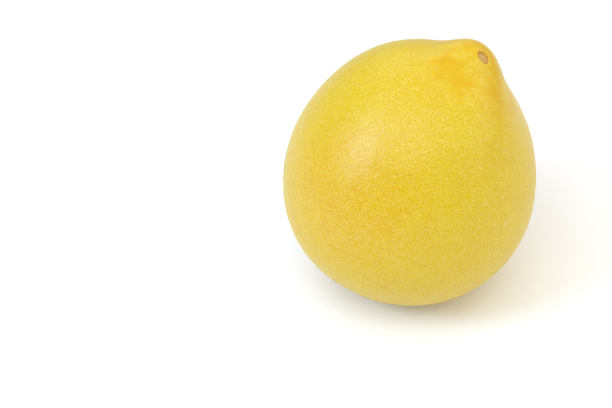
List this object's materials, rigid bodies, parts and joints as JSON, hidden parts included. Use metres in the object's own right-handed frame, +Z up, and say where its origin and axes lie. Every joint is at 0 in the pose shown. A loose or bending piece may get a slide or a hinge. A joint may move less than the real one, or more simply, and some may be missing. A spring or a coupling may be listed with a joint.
{
  "type": "pomelo",
  "caption": "Whole ripe yellow pomelo: a round citrus fruit with a pear's taper, a blunt leaning neck, a sunken stem scar and a small flat spot that it rests on.",
  "frame": {"origin": "middle of the flat spot that the fruit rests on, under its centre of mass", "axes": "+Z up, +X the side that the neck leans to, +Y away from the front"},
  "size_m": [0.1373, 0.1373, 0.1475],
  "materials": {
    "rind": "waxy satin citrus rind, finely pitted with oil glands"
  },
  "bodies": {
    "root": {"pomelo": "rind"}
  },
  "joints": []
}
